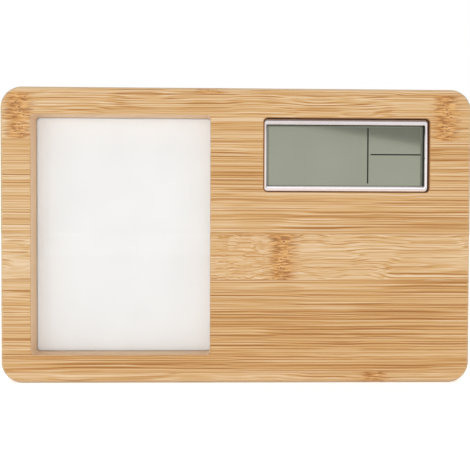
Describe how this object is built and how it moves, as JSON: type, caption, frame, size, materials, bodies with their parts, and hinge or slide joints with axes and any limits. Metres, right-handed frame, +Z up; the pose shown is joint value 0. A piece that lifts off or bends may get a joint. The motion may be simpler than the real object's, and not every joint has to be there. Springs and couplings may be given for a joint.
{
  "type": "digital clock",
  "caption": "Free-standing bamboo block with a deep photo opening behind glass beside a small LCD clock in a chrome bezel; sliding photo back and battery door behind.",
  "frame": {"origin": "middle of the block's flat bottom face, on which it stands", "axes": "+X to the right as seen from the front, +Y from the front to the back, +Z up"},
  "size_m": [0.2, 0.0186, 0.1256],
  "materials": {
    "bamboo": "satin clear lacquer over laminated strips",
    "window_glass": "clear, polished",
    "white_card": "matt white",
    "grey_board": "matt",
    "chrome_plate": "bright plating",
    "display_glass": "grey-green, smooth",
    "black_plastic": "fine texture",
    "grey_plastic": "smooth, slightly glossy",
    "elastomer": "matt",
    "board_green": "solder-resist lacquer",
    "epoxy": "cast, glossy",
    "steel": "nickel-plated",
    "brass": "plain",
    "cell_sleeve": "plain printed sleeve"
  },
  "bodies": {
    "clock": {"bamboo_block": "bamboo", "photo_window": "window_glass", "photo_card": "white_card", "backing_board": "grey_board", "display_bezel": "chrome_plate", "lcd_panel": "display_glass", "module_case": "black_plastic", "module_cover": "black_plastic", "alarm_switch_body": "black_plastic", "mode_switch": "black_plastic", "set_switch": "black_plastic", "up_switch": "black_plastic", "down_switch": "black_plastic", "zebra_strip_upper": "elastomer", "zebra_strip_lower": "elastomer", "circuit_board": "board_green", "clock_chip": "epoxy", "thermistor": "epoxy", "quartz_crystal": "steel", "battery_spring": "steel", "cover_screw_1": "steel", "cover_screw_2": "steel", "cover_screw_3": "steel", "cover_screw_4": "steel", "board_screw_1": "steel", "board_screw_2": "steel", "board_screw_3": "steel", "board_screw_4": "steel", "buzzer_disc": "brass", "negative_contact": "brass", "positive_contact": "brass", "battery_cell": "cell_sleeve"},
    "back_panel": {"photo_back_panel": "bamboo"},
    "door": {"battery_door": "black_plastic"},
    "alarm_slider": {"alarm_knob": "grey_plastic"},
    "mode_key": {"mode_button": "grey_plastic", "mode_plunger": "grey_plastic"},
    "set_key": {"set_button": "grey_plastic", "set_plunger": "grey_plastic"},
    "up_key": {"up_button": "grey_plastic", "up_plunger": "grey_plastic"},
    "down_key": {"down_button": "grey_plastic", "down_plunger": "grey_plastic"}
  },
  "joints": [
    {"name": "back_panel_slide", "type": "slide", "parent": "clock", "child": "back_panel", "axis": [0, 0, 1], "range_m": [0, 0.12]},
    {"name": "battery_door_tilt", "type": "hinge", "parent": "clock", "child": "door", "pos_m": [0.0203, 0.0083, 0.07465], "axis": [0, 0, 1], "range_deg": [0, 75]},
    {"name": "mode_press", "type": "slide", "parent": "clock", "child": "mode_key", "axis": [0, -1, 0], "range_m": [0, 0.0006], "stiffness_N_per_m": 600},
    {"name": "set_press", "type": "slide", "parent": "clock", "child": "set_key", "axis": [0, -1, 0], "range_m": [0, 0.0006], "stiffness_N_per_m": 600},
    {"name": "up_press", "type": "slide", "parent": "clock", "child": "up_key", "axis": [0, -1, 0], "range_m": [0, 0.0006], "stiffness_N_per_m": 600},
    {"name": "down_press", "type": "slide", "parent": "clock", "child": "down_key", "axis": [0, -1, 0], "range_m": [0, 0.0006], "stiffness_N_per_m": 600},
    {"name": "alarm_slide", "type": "slide", "parent": "clock", "child": "alarm_slider", "axis": [1, 0, 0], "range_m": [0, 0.003]}
  ]
}
